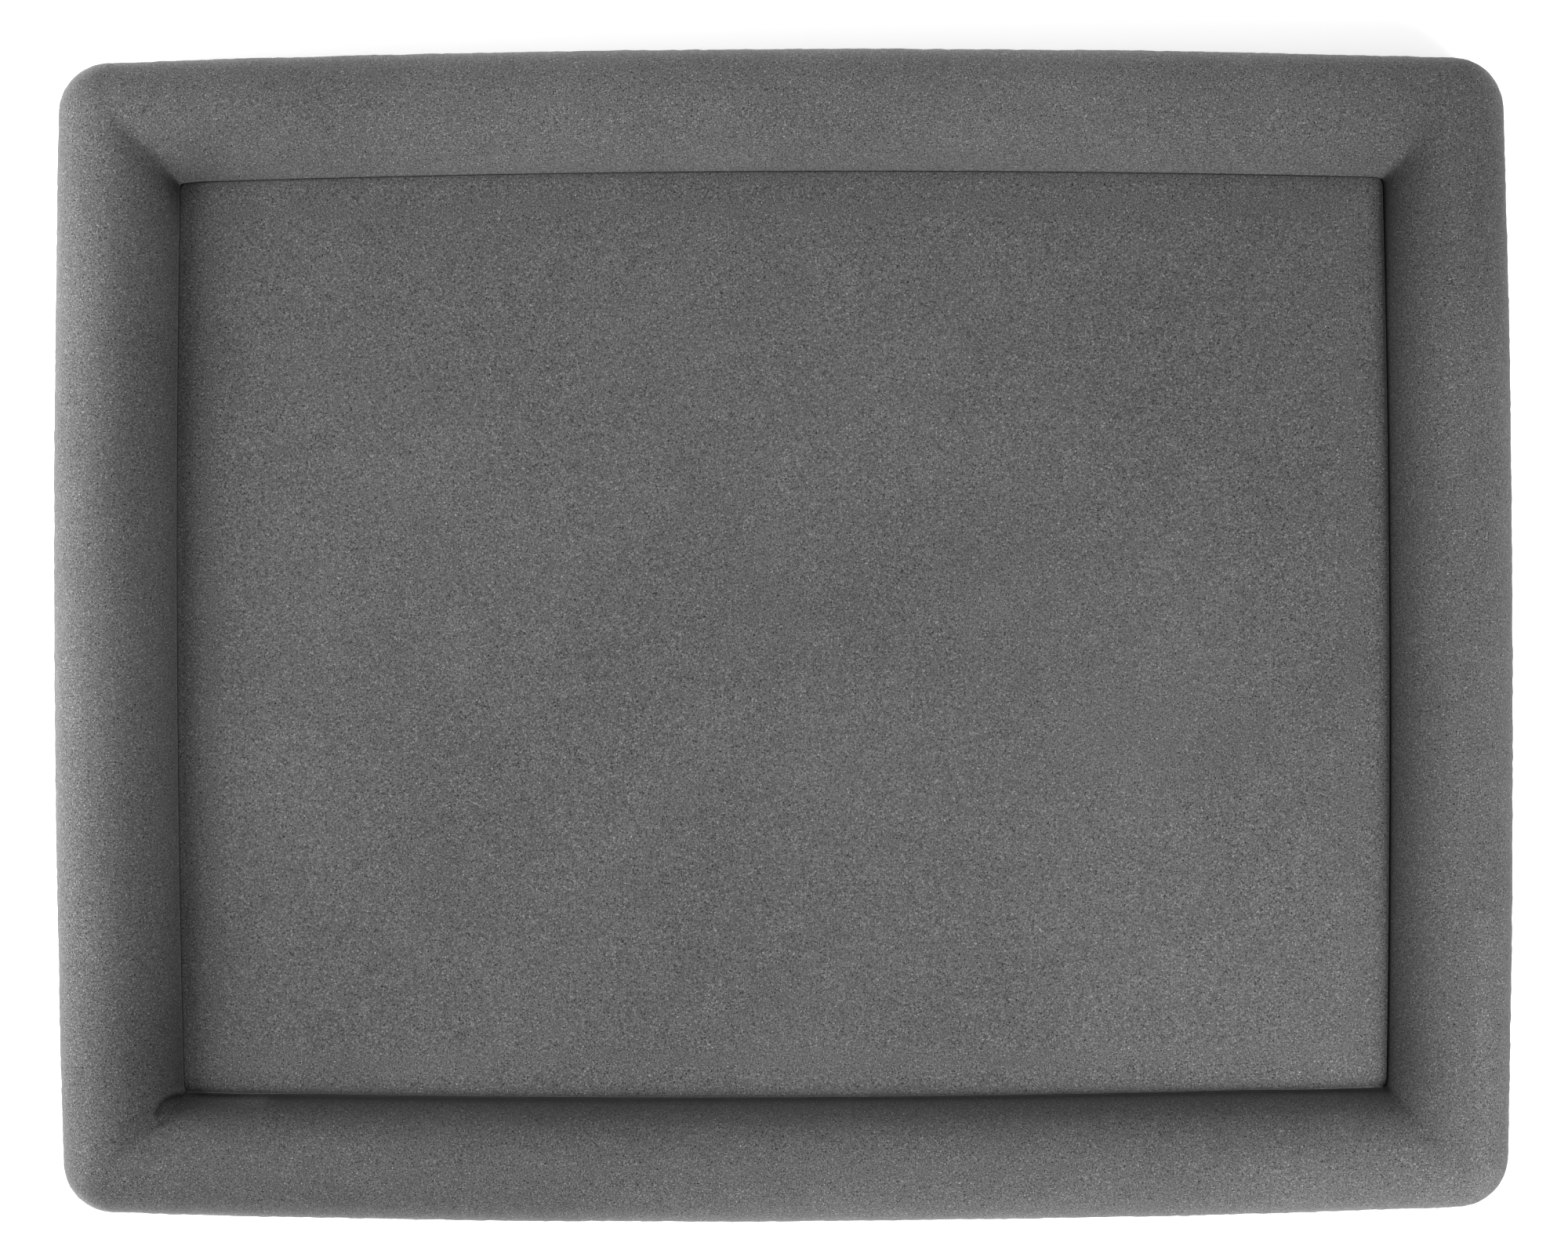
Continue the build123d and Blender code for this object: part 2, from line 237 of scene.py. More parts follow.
def ripple(points, size, seed):
    # smooth noise in -1..1 at each point
    offset = Vector((seed * 7.31, seed * 3.17, seed * 5.77))
    return np.array([noise.noise(Vector(p) / size + offset) for p in points])


# Shared patterns for the materials
class NodeTree:
    # short way to add nodes: a value is either a constant or a socket, which gets linked
    def __init__(self, tree):
        self.tree = tree

    def set(self, socket, value):
        if isinstance(value, bpy.types.NodeSocket):
            self.tree.links.new(value, socket)
        else:
            socket.default_value = value

    def node(self, kind, *firstInputs, **values):
        made = self.tree.nodes.new("ShaderNode" + kind)
        for key, value in values.items():
            if hasattr(made, key):
                setattr(made, key, value)
            else:
                self.set(made.inputs[key.replace("_", " ")], value)
        for socket, value in zip(made.inputs, firstInputs):
            self.set(socket, value)
        return made

    def noise(self, place, **values):
        return self.node("TexNoise", place, **values).outputs["Fac"]

    def vector(self, operation, *inputs, **values):
        return self.node("VectorMath", *inputs, operation=operation, **values).outputs[0]

    def math(self, operation, first, second):
        return self.node("Math", first, second, operation=operation).outputs[0]

    def sum(self, first, second):
        return self.math("ADD", first, second)

    def product(self, first, second):
        return self.math("MULTIPLY", first, second)

    def centred(self, source):
        # turns noise about one half into a change about zero
        return self.math("SUBTRACT", source, 0.5)

    def spread(self, source, gain):
        return self.product(self.centred(source), gain)

    def remap(self, source, fromMin, fromMax, toMin=0.0, toMax=1.0):
        return self.node("MapRange", source, fromMin, fromMax, toMin, toMax).outputs[0]


def startPattern(name, inputs, outputs):
    group = bpy.data.node_groups.new(name, "ShaderNodeTree")
    group.interface.new_socket("Vector", in_out="INPUT", socket_type="NodeSocketVector")
    for label, value in inputs.items():
        socket = group.interface.new_socket(label, in_out="INPUT", socket_type="NodeSocketFloat")
        socket.default_value = value
    for label in outputs:
        group.interface.new_socket(label, in_out="OUTPUT", socket_type="NodeSocketFloat")
    given = group.nodes.new("NodeGroupInput").outputs
    return group, NodeTree(group), given, given["Vector"]


def endPattern(tree, results):
    out = tree.tree.nodes.new("NodeGroupOutput")
    for label, source in results.items():
        tree.set(out.inputs[label], source)


def makeNapPattern():
    gains = {"Cloud Gain": 0.3, "Patch Gain": 0.3, "Grain Gain": 1.0, "Fibre Gain": 0.5}
    group, tree, given, place = startPattern("napPattern", gains, ["Shade", "Height"])
    clouds = tree.noise(place, Scale=20.0, Detail=3.0, Roughness=0.6)
    patches = tree.noise(place, Scale=110.0, Detail=3.0, Roughness=0.65)
    grain = tree.noise(place, Scale=3500.0, Detail=1.0, Roughness=0.6, Distortion=0.4)
    # short curled fibres lie where thin contours of one noise cross the patches of another
    curls = tree.noise(place, Scale=1300.0, Detail=1.0, Distortion=0.8)
    contour = tree.remap(tree.math("ABSOLUTE", tree.centred(curls), 0.0), 0.04, 0.0)
    length = tree.remap(tree.noise(place, Scale=1400.0, Detail=0.0), 0.60, 0.68)
    # the grain is stronger in some patches than in others: mostly faint, with a few strong specks
    strength = tree.product(tree.sum(0.7, tree.product(patches, 0.6)), given["Grain Gain"])
    speck = tree.centred(grain)
    bend = tree.product(tree.sum(tree.product(speck, 22.0), 1.2), speck)
    speck = tree.product(tree.sum(bend, 0.6), speck)
    shade = tree.sum(1.0, tree.spread(clouds, given["Cloud Gain"]))
    shade = tree.sum(shade, tree.spread(patches, given["Patch Gain"]))
    shade = tree.sum(shade, tree.product(speck, strength))
    shade = tree.sum(shade, tree.product(tree.product(contour, length), given["Fibre Gain"]))
    height = tree.sum(grain, tree.product(patches, 0.5))
    endPattern(tree, {"Shade": tree.math("MAXIMUM", shade, 0.05), "Height": height})
    return group


napPattern = makeNapPattern()


def startMaterial(name, **values):
    material = bpy.data.materials.new(name)
    material.use_nodes = True
    tree = NodeTree(material.node_tree)
    shader = material.node_tree.nodes["Principled BSDF"].inputs
    for key, value in values.items():
        shader[key.replace("_", " ")].default_value = value
    return material, tree, shader, tree.node("TexCoord").outputs["Object"]


def shadeColour(tree, shader, colour, shade):
    # base colour times a pattern
    grey = tree.node("CombineColor", shade, shade, shade).outputs[0]
    mix = tree.node("Mix", data_type="RGBA", blend_type="MULTIPLY", Factor=1.0, A=colour, B=grey)
    tree.set(shader["Base Color"], mix.outputs["Result"])


def bumpFrom(tree, shader, height, distance, strength):
    bump = tree.node("Bump", Height=height, Strength=strength, Distance=distance)
    tree.set(shader["Normal"], bump.outputs[0])


microfibre = {
    "colour": (0.122, 0.122, 0.123, 1.0),
    "gains": {"Cloud_Gain": 0.40, "Patch_Gain": 0.22, "Grain_Gain": 3.3, "Fibre_Gain": 1.0},
    "bump": 0.00012,
    "surface": {"Roughness": 0.95, "Specular_IOR_Level": 0.12, "Sheen_Weight": 0.3, "Sheen_Roughness": 0.4},
}


def makeMicrofibre():
    material, tree, shader, place = startMaterial("microfibreCloth", **microfibre["surface"])
    nap = tree.node("Group", node_tree=napPattern, Vector=place, **microfibre["gains"]).outputs
    # painted light and shade from the covers, multiplied into the base colour
    paintedShading = tree.node("Attribute", attribute_name="paintedLightAndShade").outputs["Fac"]
    shadeColour(tree, shader, microfibre["colour"], tree.product(nap["Shade"], paintedShading))
    bumpFrom(tree, shader, nap["Height"], microfibre["bump"], 0.6)
    return material


microfibreCloth = makeMicrofibre()
# base colour, colour of the flecks, scale of the flecks, scale of the clouds, roughness and bump
boardLooks = {
    "mdfBoard": ((0.43, 0.30, 0.185, 1.0), (0.22, 0.14, 0.08, 1.0), 900.0, 60.0, 0.72, 0.00006),
    "greyBoard": ((0.27, 0.26, 0.24, 1.0), (0.12, 0.115, 0.105, 1.0), 1300.0, 90.0, 0.85, 0.00004),
    "blackCard": ((0.024, 0.024, 0.025, 1.0), (0.010, 0.010, 0.011, 1.0), 1600.0, 70.0, 0.6, 0.00003),
}
foamLook = {
    "colour": (0.55, 0.55, 0.53, 1.0),
    "cell": 1300.0,
    "bump": 0.00018,
    "surface": {"Roughness": 0.9, "Specular_IOR_Level": 0.2},
}
steelLook = {"colour": (0.56, 0.56, 0.57, 1.0), "surface": {"Roughness": 0.34, "Metallic": 1.0}}


def makeFibrePattern():
    # short fibres pressed in a board, and its cloudy tone
    scales = {"Fleck Scale": 900.0, "Cloud Scale": 60.0}
    group, tree, given, place = startPattern("pressedFibre", scales, ["Dark Mask", "Height", "Tone"])
    clouds = tree.noise(place, Scale=given["Cloud Scale"], Detail=4.0)
    stretched = tree.vector("MULTIPLY", place, (1.0, 0.35, 0.8))
    fleck = tree.noise(stretched, Scale=given["Fleck Scale"], Detail=3.0, Roughness=0.65, Distortion=0.6)
    tone = tree.sum(0.8, tree.product(clouds, 0.4))
    endPattern(tree, {"Dark Mask": tree.remap(fleck, 0.50, 0.72), "Height": fleck, "Tone": tone})
    return group


fibrePattern = makeFibrePattern()


def makeBoardFibre(name):
    colour, flecks, fleckScale, cloudScale, roughness, bump = boardLooks[name]
    material, tree, shader, place = startMaterial(name, Roughness=roughness, Specular_IOR_Level=0.3)
    scales = {"Fleck_Scale": fleckScale, "Cloud_Scale": cloudScale}
    fibre = tree.node("Group", node_tree=fibrePattern, Vector=place, **scales).outputs
    blend = tree.node("Mix", data_type="RGBA", Factor=fibre["Dark Mask"], A=colour, B=flecks)
    shadeColour(tree, shader, blend.outputs["Result"], fibre["Tone"])
    bumpFrom(tree, shader, fibre["Height"], bump, 0.5)
    return material


def makeFoam():
    material, tree, shader, place = startMaterial("foamCells", **foamLook["surface"])
    cells = tree.node("TexVoronoi", place, Scale=foamLook["cell"], feature="F1").outputs["Distance"]
    cloudy = tree.sum(0.85, tree.product(tree.noise(place, Scale=45.0, Detail=3.0), 0.3))
    shade = tree.product(tree.remap(cells, 0.1, 0.75, 0.72, 1.08), cloudy)
    shadeColour(tree, shader, foamLook["colour"], shade)
    bumpFrom(tree, shader, cells, foamLook["bump"], 0.7)
    return material


def makeSteel():
    # with faint marks along the wire, as drawing leaves them
    material, tree, shader, place = startMaterial("fastenerSteel", **steelLook["surface"])
    drawn = tree.node("Mapping", place, Scale=(4000.0, 4000.0, 260.0)).outputs[0]
    marks = tree.noise(drawn, Scale=1.0, Detail=2.0)
    shadeColour(tree, shader, steelLook["colour"], tree.sum(0.86, tree.product(marks, 0.28)))
    tree.set(shader["Roughness"], tree.sum(0.22, tree.product(marks, 0.26)))
    return material


feltLook = {
    "colour": (0.040, 0.040, 0.042, 1.0),
    "grain": 520.0,
    "bump": 0.0004,
    "surface": {"Roughness": 0.97, "Specular_IOR_Level": 0.1, "Sheen_Weight": 0.25, "Sheen_Roughness": 0.5},
}


def makeFeltCloth():
    material, tree, shader, place = startMaterial("feltCloth", **feltLook["surface"])
    warp = tree.node("TexNoise", place, Scale=180.0, Detail=2.0).outputs["Color"]
    moved = tree.vector("ADD", place, tree.vector("SCALE", warp, Scale=0.006))
    fibres = tree.noise(moved, Scale=feltLook["grain"], Detail=5.0, Roughness=0.72, Distortion=1.2)
    clumps = tree.noise(place, Scale=75.0, Detail=3.0)
    shade = tree.sum(tree.sum(1.0, tree.spread(fibres, 2.6)), tree.spread(clumps, 0.6))
    shadeColour(tree, shader, feltLook["colour"], tree.math("MAXIMUM", shade, 0.1))
    bumpFrom(tree, shader, fibres, feltLook["bump"], 0.8)
    return material


feltCloth = makeFeltCloth()
print("materials made")

# Cloth simulation: the covers are blown out a little from inside, as stuffing does
swelling = {"pressure": 2.2, "frames": 14, "quality": 4, "stiffness": 15.0, "bending": 0.5, "cap": 0.0006}


def swellCloth(points, faces, heldPoints, pressure, cap):
    # returns how far each point of an open cloth moves
    mesh = bpy.data.meshes.new("swellingCloth")
    mesh.from_pydata([tuple(p) for p in points], [], faces)
    cloth = bpy.data.objects.new("swellingCloth", mesh)
    bpy.context.collection.objects.link(cloth)
    cloth.vertex_groups.new(name="held").add([int(i) for i in heldPoints], 1.0, "REPLACE")
    modifier = cloth.modifiers.new("Cloth", "CLOTH")
    settings = modifier.settings
    settings.quality = swelling["quality"]
    settings.mass = 0.3
    settings.tension_stiffness = settings.compression_stiffness = swelling["stiffness"]
    settings.shear_stiffness = swelling["stiffness"] / 3
    settings.bending_stiffness = swelling["bending"]
    settings.use_pressure = True
    settings.uniform_pressure_force = pressure
    settings.effector_weights.gravity = 0
    settings.vertex_group_mass = "held"
    modifier.collision_settings.use_collision = False
    modifier.point_cache.frame_start, modifier.point_cache.frame_end = 1, swelling["frames"]
    for step in range(1, swelling["frames"] + 1):
        bpy.context.scene.frame_set(step)
    bpy.context.view_layer.objects.active = cloth
    bpy.ops.object.modifier_apply(modifier="Cloth")
    moved = np.empty(len(points) * 3)
    cloth.data.vertices.foreach_get("co", moved)
    moved = moved.reshape(-1, 3) - points
    bpy.data.objects.remove(cloth)
    bpy.context.scene.frame_set(1)
    length = np.linalg.norm(moved, axis=1, keepdims=True)
    return moved * np.minimum(1, cap / np.maximum(length, 1e-9))


def refine(grid, axis, closed=False):
    # doubles the points along an axis, halfway between the old ones
    grid = np.moveaxis(grid, axis, 0)
    following = np.roll(grid, -1, axis=0)
    fine = np.empty((2 * len(grid),) + grid.shape[1:])
    fine[::2], fine[1::2] = grid, (grid + following) / 2
    return np.moveaxis(fine if closed else fine[:-1], 0, axis)


# Rim cover
rimDetail = {"under": 4, "fold": 3, "lean": 9, "shoulder": 17, "roll": 25, "wall": 9, "crease": 2, "inside": 5}
rimSteps = (290, 226, 14)  # columns on a long side, on a short side and round a corner
liningDetail = {"under": 2, "fold": 1, "lean": 1, "shoulder": 3, "roll": 3, "wall": 1, "crease": 1, "inside": 1}
# Four values stand for the right, back, left and front side. Two levels or insets are where a change sets in
# and where it is complete
rimSurface = {
    "ripples": [(0.00012, 0.024), (0.00007, 0.006), (0.00004, 0.0018)],  # height and size
    "fuzz": {"height": 0.00016, "size": 0.0016, "level": 0.0115, "reach": 0.003},  # shows in the outline
    "gather": {"height": 0.00016, "levels": (0.0135, 0.0045), "turns": 22, "ends": 0.25, "past": 0.0005},
    # how much more radius the outer corners have than the solid's: signs of x and y, and the difference
    "rounder": [(1, 1, 0.0008), (-1, 1, 0.0007), (-1, -1, 0.0008), (1, -1, 0.0012)],
    "foot": (0.0, 0.0, 0.0, 0.0002),  # how far out the roll ends
    "footEnds": (0.0, 0.0, 0.0, 0.0003),  # and beyond that near the corners
    "footInset": (0.0185, 0.0250),  # where that sets in
    "footLevels": (0.0100, 0.0116),
    "footBlend": 0.0008,
    "ends": (0.093, 0.113),  # distance from the middle of a long side, where its ends begin
    "wallSwell": (0.00015, 0.0, 0.0, 0.00018),  # how far the wall of the well stands out below it
    "wallInset": 0.0225,
    "wallTop": (0.0112, 0.0102),
    "wallFoot": (0.0061, 0.0071),
    "wallBlend": 0.0003,
    "clearFrom": (0.0063, 0.0067),  # levels from which the pad needs its room
    "hemHold": (0.0017, 0.0047),  # levels over which the cloth comes free of the hem below
    "wellHold": (0.0065, 0.0095),  # and of the hem inside, which is flat where the pad rests on it
    "calmInset": (0.0205, 0.0245),  # smoother close to the pad
    "calm": 0.8,
    "crestNap": 1.05,
    "plainBelow": 0.002,
    "paintedEdgeShading": (-0.06, 0.35, 0.09, 0.35),  # painted light along the outer edge, a little painted shade on the right
    "edgeReach": 0.0022,
    "paintedRollShade": (0.72, 0.12, 0.69, 0.75),  # painted shade down the roll towards the well
    "flatPower": (1.5, 1.0, 1.25, 2.6),
    "paintedFootShade": (0.20, 0.03, 0.0, 0.26),  # painted shade along the foot, in the crease
    "footReach": 0.0008,
    "sideBlend": (0.0004, 0.0022),  # how softly the painted shade of two sides meets at the well, and further out
    "shadePatches": [  # painted light and shade in soft patches: place, reach and change
        (0.140, -0.113, 0.030, 0.16),
        (0.080, -0.116, 0.035, 0.05),
        (0.140, 0.108, 0.035, -0.15),
        (-0.130, -0.116, 0.035, -0.13),
        (-0.075, -0.118, 0.045, -0.11),
        (-0.118, 0.105, 0.020, -0.05),
        (0.1245, -0.0890, 0.014, -0.12),
        (-0.1190, 0.0990, 0.006, -0.18),
        (-0.0970, 0.0985, 0.018, -0.10),
        (0.1470, 0.0850, 0.020, -0.13),
        (-0.1320, -0.0820, 0.013, -0.11),
    ],
    "lightAndShadeStreaks": [  # lighter and darker lines along the crest and foot, partly brushed nap and partly painted light and shade: path, width and change
        ([(0.1428, -0.060), (0.1418, -0.112)], 0.0022, 0.16),
        ([(0.1435, 0.010), (0.1432, -0.060)], 0.0020, 0.05),
        ([(-0.1400, -0.1150), (-0.0450, -0.1190)], 0.0045, -0.15),
        ([(0.0900, -0.1110), (0.1250, -0.1120), (0.1420, -0.1140)], 0.0045, 0.11),
        ([(-0.1420, 0.0350), (-0.1420, -0.0550)], 0.0045, -0.07),
        ([(-0.1235, -0.0940), (-0.1080, -0.0946)], 0.0015, 0.30),
    ],
    # painted shade at the mitres: the darker side, the other side (right 0, back 1, left 2, front 3), how dark, how
    # far it reaches
    "mitres": [(2, 1, 0.42, 0.005), (0, 1, 0.10, 0.006), (2, 3, 0.12, 0.006), (3, 0, 0.18, 0.006)],
    "mitreBlend": (0.0004, 0.003),  # how crisp they are at the well, and further out
    "mitreEnd": 0.035,
    "creaseLevels": (0.010, 0.011),
    "creases": [  # path, depth, width and painted shade in the fold
        ([(-0.1246, -0.0941), (-0.1258, -0.0942), (-0.1275, -0.0950), (-0.1286, -0.0969)], 0.0003, 0.0007, 0.26),
        ([(-0.1262, -0.0985), (-0.1282, -0.0992)], 0.0002, 0.0006, 0.12),
    ],
}
outwards = ((1, 0), (0, 1), (-1, 0), (0, -1))


def fromPath(points, path):
    # distance in plan from a path of straight runs
    nearest = np.full(len(points), 1.0)
    for first, second in zip(path, path[1:]):
        first, second = np.array(first), np.array(second)
        run = second - first
        share = np.clip(((points[:, :2] - first) @ run) / (run @ run), 0, 1)
        nearest = np.minimum(nearest, np.linalg.norm(points[:, :2] - first - share[:, None] * run, axis=1))
    return nearest


def sideInsets(points):
    # distances inwards from the outline of the right, back, left and front sides
    x, y = points[..., 0], points[..., 1]
    reaches = [np.hypot(x + rightAxis, y), np.hypot(x, y + backAxis)]
    reaches += [np.hypot(x - rightAxis, y), np.hypot(x, y - backAxis)]
    return rim["bowRadius"] + rim["crestInset"] - np.stack(reaches)


def sideShares(points, blend):
    # how far each point belongs to each side, mixed over the mitres
    insets = sideInsets(points)
    shares = np.exp(-(insets - insets.min(axis=0)) / blend)
    return shares / shares.sum(axis=0)


def addShadePatches(paintedShading, points, shadePatches):
    # each patch paints light or shade into the colour
    for x, y, reach, change in shadePatches:
        paintedShading += change * np.exp(-(((points[:, 0] - x) ** 2 + (points[:, 1] - y) ** 2) / reach**2))


def rimPaintedShading(points):
    # painted shade down the roll towards the well and painted light along the outer edge, where the light falls on
    # them; the nap brushed towards the well gives a little of it
    insets = sideInsets(points)
    inset = insets.min(axis=0)
    down = fromTo(inset, rim["crestInset"], rim["width"])
    atWell, further = rimSurface["sideBlend"]
    shares = sideShares(points, atWell + further * (1 - down))
    paintedShading = np.full(len(points), rimSurface["crestNap"])
    footFade = np.exp(-np.clip(rim["width"] - inset, 0, 1) / rimSurface["footReach"])
    edgeFade = np.exp(-inset / rimSurface["edgeReach"])
    values = [rimSurface[key] for key in ("paintedEdgeShading", "paintedRollShade", "flatPower", "paintedFootShade")]
    for share, edge, flat, power, foot in zip(shares, *values):
        paintedShading -= share * foot * footFade
        paintedShading += share * (edge * edgeFade - flat * down**power)
    # painted shade at the mitres, more on one side of each
    atWell, further = rimSurface["mitreBlend"]
    crisp = atWell + further * (1 - down)
    for first, second, shade, reach in rimSurface["mitres"]:
        aside = np.clip(insets[second] - insets[first], -0.02, 0.05)
        fade = np.exp(-np.maximum(aside, 0) / reach) / (1 + np.exp(-aside / crisp))
        near = np.maximum(insets[first], insets[second]) < rimSurface["mitreEnd"]
        paintedShading -= shade * fade * down * near
    addShadePatches(paintedShading, points, rimSurface["shadePatches"])
    # lines of painted light and shade, partly brushed nap
    for path, width, change in rimSurface["lightAndShadeStreaks"]:
        paintedShading += change * np.exp(-((fromPath(points, path) / width) ** 2))
    return np.where(points[:, 2] < rimSurface["plainBelow"], 1.0, paintedShading)


def roundCorner(points):
    # the cloth rounds the outer corners to a larger radius than the board below it
    x, y = points[:, 0], points[:, 1]
    cornerX, cornerY = bowedCorner(0.0)
    board = rim["crestInset"]
    for signX, signY, more in rimSurface["rounder"]:
        fromX, fromY = x * signX - cornerX + more, y * signY - cornerY + more
        reach = np.hypot(fromX, fromY) + 1e-9
        alongX, alongY = fromX / reach, fromY / reach
        toSide = (board + more) / np.maximum(np.maximum(alongX, alongY), 0.5)
        across = more * (alongX + alongY)
        toArc = across + np.sqrt(np.maximum(across**2 - 2 * more**2 + board**2, 0))
        pull = (np.minimum(toSide, toArc) - board - more) * np.clip(reach / board, 0, 1) ** 2
        pull = np.maximum(pull, 0) * (fromX > 0) * (fromY > 0)
        x, y = x - signX * pull * alongX, y - signY * pull * alongY
    return np.stack([x, y, points[:, 2]], axis=1)


def endShare(x):
    # grows to 1 near the ends of the long sides
    return eased(fromTo(np.abs(x), *rimSurface["ends"]))


def moveSides(points, shares, amounts):
    # moves points away from the well, by an amount for each side
    x, y = points[:, 0], points[:, 1]
    for share, (signX, signY), amount in zip(shares, outwards, amounts):
        x, y = x + signX * share * amount, y + signY * share * amount
    return np.stack([x, y, points[:, 2]], axis=1)


def openFoot(points):
    # at the right and the front the roll ends a little further out, then runs on down towards the pad
    inset, level = sideInsets(points).min(axis=0), points[:, 2]
    near = fromTo(inset, *rimSurface["footInset"]) ** 2
    high = eased(fromTo(level, *rimSurface["footLevels"]))
    low = eased(fromTo(level, *rimSurface["wallTop"]) * fromTo(level, *rimSurface["wallFoot"]))
    low = low * (inset > rimSurface["wallInset"])
    towardsEnds = endShare(points[:, 0])
    amounts = []
    for foot, ends, swell in zip(*[rimSurface[key] for key in ("foot", "footEnds", "wallSwell")]):
        least = 0.6 * (ends > 0)  # of the foot's move, left below it
        amounts.append(near * (foot + ends * towardsEnds) * np.maximum(high, least) - swell * low)
    return moveSides(points, sideShares(points, rimSurface["footBlend"]), amounts)


def keepClear(points):
    # the wall of the well never leans over the pad
    shares = sideShares(points, rimSurface["wallBlend"])
    room = (np.array(rimSurface["wallSwell"])[:, None] * shares).sum(axis=0)
    beyond = np.clip(sideInsets(points).min(axis=0) - rim["width"] - room, 0, 0.002)
    return moveSides(points, shares, [beyond * fromTo(points[:, 2], *rimSurface["clearFrom"])] * 4)


def gathers(points):
    # small pleats low on the outer corners, where the cloth is pulled round them
    gather = rimSurface["gather"]
    cornerX, cornerY = bowedCorner(0.0)
    aroundX = np.abs(points[:, 0]) - cornerX + gather["past"]
    aroundY = np.abs(points[:, 1]) - cornerY + gather["past"]
    turned = np.arctan2(aroundY, aroundX)
    atCorner = fromTo(np.minimum(turned, math.pi / 2 - turned), 0, gather["ends"])
    phase = 1.5 * np.sign(points[:, 0]) + 0.8 * np.sign(points[:, 1])
    pleats = np.sin(turned * gather["turns"] + phase) * (aroundX > 0) * (aroundY > 0)
    return gather["height"] * fromTo(points[:, 2], *gather["levels"]) * atCorner * pleats


def makeRimCover():
    section = rimSection(0.0, rimDetail)
    inset, level = section[:, 0], section[:, 1]
    outer = sweepRim(section, rimSteps)
    rows, columns = outer.shape[:2]
    coarse = outer[::2, ::2]
    held = np.arange(coarse[..., 0].size).reshape(coarse.shape[:2])[[0, 1, 2, 3, -3, -2, -1]].ravel()
    faces = gridFaces(*coarse.shape[:2])
    moved = swellCloth(coarse.reshape(-1, 3), faces, held, swelling["pressure"], swelling["cap"])
    moved = refine(refine(moved.reshape(coarse.shape), 0), 1, closed=True)
    normals = gridNormals(outer)
    # painted light and shade of the rim cover, carried into its colour
    nap = rimPaintedShading(outer.reshape(-1, 3))
    pastWall, inWell = inset > rim["width"] - 0.0005, fromTo(level, *rimSurface["wellHold"])
    calm = 1 - rimSurface["calm"] * fromTo(inset, *rimSurface["calmInset"])
    free = np.where(pastWall, inWell, fromTo(level, *rimSurface["hemHold"])) * calm
    moved = moved * (np.where(pastWall, inWell, 1.0) * calm)[:, None, None]
    flat = openFoot(roundCorner((outer + moved).reshape(-1, 3)))
    change = sum(height * ripple(flat, size, i + 1) for i, (height, size) in enumerate(rimSurface["ripples"]))
    fuzz = rimSurface["fuzz"]
    atWidest = np.exp(-(((flat[:, 2] - fuzz["level"]) / fuzz["reach"]) ** 2))
    change += fuzz["height"] * ripple(flat, fuzz["size"], 4) * atWidest
    change += gathers(flat)
    change = (change.reshape(rows, columns) * free[:, None]).ravel()
    high = fromTo(flat[:, 2], *rimSurface["creaseLevels"])
    for path, depth, width, pressed in rimSurface["creases"]:
        away = fromPath(flat, path) / width
        # a slit with a low lip beside it
        change += high * depth * (0.45 * np.exp(-((away - 2) ** 2)) - np.exp(-(away**2)))
        # painted shade in the fold
        nap -= high * pressed * np.exp(-(away**2))
    outer = keepClear(flat + normals.reshape(-1, 3) * change[:, None])
    inner = sweepRim(rimSection(rim["thickness"], liningDetail), rimSteps)
    innerRows = inner.shape[0]
    faces = gridFaces(rows, columns)
    faces += gridFaces(innerRows, columns, start=rows * columns, flipped=True)
    firstInner, lastOuter = rows * columns, (rows - 1) * columns
    lastInner = firstInner + (innerRows - 1) * columns
    for j in range(columns):
        k = (j + 1) % columns
        faces.append((firstInner + j, firstInner + k, k, j))
        faces.append((lastOuter + j, lastOuter + k, lastInner + k, lastInner + j))
    points = np.concatenate([outer, inner.reshape(-1, 3)])
    cover = makePiece("rimCover", points, faces, microfibreCloth, "tray")
    paintLightAndShade(cover, np.concatenate([nap, np.full(innerRows * columns, 1.0)]))
    return cover


rimCover = makeRimCover()
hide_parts("rim_cover")
print("rim cover made:", len(rimCover.data.polygons), "faces")

